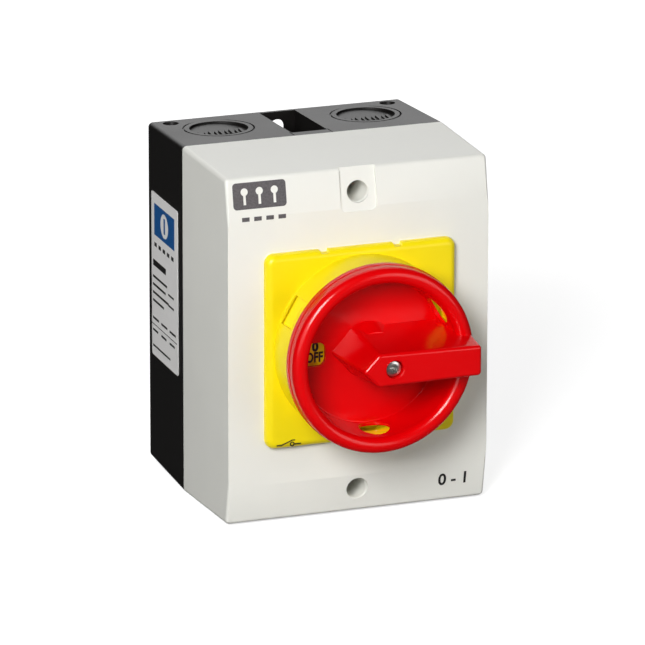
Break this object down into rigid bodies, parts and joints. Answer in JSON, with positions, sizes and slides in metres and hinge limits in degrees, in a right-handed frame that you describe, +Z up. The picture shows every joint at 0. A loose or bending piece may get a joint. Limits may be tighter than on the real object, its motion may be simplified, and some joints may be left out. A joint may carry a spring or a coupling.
{
  "type": "rotary isolator switch",
  "caption": "Surface-mounted rotary isolator switch: black base, white cover, yellow plate and a red padlockable handle that turns from OFF to ON.",
  "frame": {"origin": "centre of the flat back face, on the handle's axis", "axes": "+Y out of the back into the wall, so the front faces -Y; +Z up; +X to the right seen from the front"},
  "size_m": [0.0927, 0.1136, 0.12],
  "materials": {
    "black_plastic": "fine moulded grain, satin black",
    "white_plastic": "smooth satin off-white",
    "yellow_plastic": "semi-gloss moulded yellow",
    "red_plastic": "semi-gloss moulded red",
    "label_film": "silver-grey printed film",
    "grey_plastic": "plain moulded grey",
    "dark_plastic": "plain moulded charcoal",
    "cam_plastic": "natural nylon",
    "zinc_steel": "zinc-plated",
    "bright_screw": "bright nickel plate",
    "spring_steel": "oiled spring steel",
    "brass": "plain rolled brass",
    "seal_rubber": "soft black"
  },
  "bodies": {
    "base": {"rear_box": "black_plastic", "cover_screw_inserts": "brass", "rating_label": "label_film", "mounting_foot": "grey_plastic", "foot_screws": "zinc_steel", "rear_contact_deck": "dark_plastic", "front_contact_deck": "dark_plastic", "fixed_contacts": "brass", "terminal_clamps": "zinc_steel", "terminal_screws": "zinc_steel", "detent_housing": "grey_plastic", "bearing_plate": "grey_plastic", "tie_screws": "zinc_steel", "detent_plungers": "cam_plastic", "detent_springs": "spring_steel", "earth_terminal": "brass", "earth_screw": "zinc_steel"},
    "cover": {"front_cover": "white_plastic", "cover_gasket": "seal_rubber", "cover_screws": "zinc_steel", "screw_washers": "seal_rubber", "yellow_escutcheon": "yellow_plastic", "escutcheon_screws": "zinc_steel", "handle_seal": "seal_rubber"},
    "handle": {"rotary_handle": "red_plastic", "handle_screw": "bright_screw", "handle_hub": "red_plastic", "hub_clip": "spring_steel"},
    "rotor": {"drive_shaft": "zinc_steel", "rear_cam": "cam_plastic", "front_cam": "cam_plastic", "detent_wheel": "cam_plastic", "shaft_retainer": "spring_steel"},
    "contact_1": {"contact_carrier_1": "cam_plastic", "contact_bridge_1": "brass", "contact_spring_1": "spring_steel"},
    "contact_2": {"contact_carrier_2": "cam_plastic", "contact_bridge_2": "brass", "contact_spring_2": "spring_steel"},
    "contact_3": {"contact_carrier_3": "cam_plastic", "contact_bridge_3": "brass", "contact_spring_3": "spring_steel"},
    "contact_4": {"contact_carrier_4": "cam_plastic", "contact_bridge_4": "brass", "contact_spring_4": "spring_steel"}
  },
  "joints": [
    {"name": "cover_lift", "type": "slide", "parent": "base", "child": "cover", "axis": [0, -1, 0], "range_m": [0, 0.06]},
    {"name": "handle_turn", "type": "hinge", "parent": "cover", "child": "handle", "pos_m": [0, 0, 0], "axis": [0, 1, 0], "range_deg": [0, 90]},
    {"name": "rotor_turn", "type": "hinge", "parent": "base", "child": "rotor", "pos_m": [0, 0, 0], "axis": [0, 1, 0], "range_deg": [0, 90]},
    {"name": "contact_1_slide", "type": "slide", "parent": "base", "child": "contact_1", "axis": [1, 0, 0], "range_m": [0, 0.0025]},
    {"name": "contact_2_slide", "type": "slide", "parent": "base", "child": "contact_2", "axis": [-1, 0, 0], "range_m": [0, 0.0025]},
    {"name": "contact_3_slide", "type": "slide", "parent": "base", "child": "contact_3", "axis": [1, 0, 0], "range_m": [0, 0.0025]},
    {"name": "contact_4_slide", "type": "slide", "parent": "base", "child": "contact_4", "axis": [-1, 0, 0], "range_m": [0, 0.0025]}
  ],
  "couplings": [
    {"joint": "rotor_turn", "follows": "handle_turn", "ratio": 1},
    {"joint": "contact_1_slide", "follows": "handle_turn", "m_per_rad": 0.0015915},
    {"joint": "contact_2_slide", "follows": "handle_turn", "m_per_rad": 0.0015915},
    {"joint": "contact_3_slide", "follows": "handle_turn", "m_per_rad": 0.0015915},
    {"joint": "contact_4_slide", "follows": "handle_turn", "m_per_rad": 0.0015915}
  ]
}
